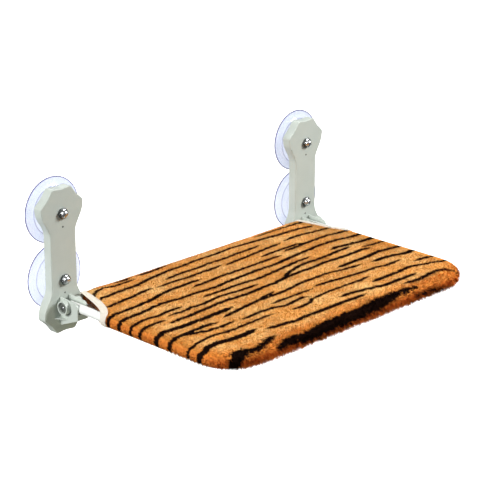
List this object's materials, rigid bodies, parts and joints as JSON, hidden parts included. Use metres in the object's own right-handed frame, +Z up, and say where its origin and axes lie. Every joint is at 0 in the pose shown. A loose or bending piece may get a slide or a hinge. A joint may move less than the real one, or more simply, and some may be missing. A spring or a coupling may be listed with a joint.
{
  "type": "window mounted cat perch",
  "caption": "Folding cat perch with a plush covered mat on a tube frame, hinged to moulded window brackets on suction cups.",
  "frame": {"origin": "on the window glass, midway between the brackets, at the height of the hinge axis", "axes": "+X right along the window, +Y into the glass, +Z up; the perch reaches towards -Y"},
  "size_m": [0.555, 0.333, 0.2088],
  "materials": {
    "bracket_plastic": "satin sage grey moulded plastic",
    "cup_pvc": "clear glossy soft PVC",
    "zinc_steel": "zinc plated steel",
    "nut_chrome": "bright nickel",
    "white_tube": "white powder coat",
    "plug_plastic": "black nylon",
    "foam": "open cell foam",
    "tiger_plush": "short pile plush with black tiger stripes",
    "hem_cloth": "pale folded hem",
    "base_cloth": "white non-woven cloth",
    "hook_tape": "woven hook and loop tape"
  },
  "bodies": {
    "brackets": {"left_bracket": "bracket_plastic", "right_bracket": "bracket_plastic", "left_upper_cup": "cup_pvc", "left_lower_cup": "cup_pvc", "right_upper_cup": "cup_pvc", "right_lower_cup": "cup_pvc", "left_cup_studs": "zinc_steel", "right_cup_studs": "zinc_steel", "left_cap_nuts": "nut_chrome", "right_cap_nuts": "nut_chrome", "left_pivot_bolt": "nut_chrome", "right_pivot_bolt": "nut_chrome", "left_pivot_nut": "zinc_steel", "right_pivot_nut": "zinc_steel"},
    "perch": {"left_side_tube": "white_tube", "right_side_tube": "white_tube", "left_tube_plug": "plug_plastic", "right_tube_plug": "plug_plastic", "front_tube": "white_tube", "frame_screws": "zinc_steel", "rear_crossbar": "white_tube", "foam_core": "foam", "plush_cover": "tiger_plush", "left_corner_hem": "hem_cloth", "right_corner_hem": "hem_cloth", "base_cloth": "base_cloth", "closure_tape": "hook_tape"}
  },
  "joints": [
    {"name": "fold", "type": "hinge", "parent": "brackets", "child": "perch", "pos_m": [0, -0.0345, 0], "axis": [-1, 0, 0], "range_deg": [0, 84]}
  ]
}
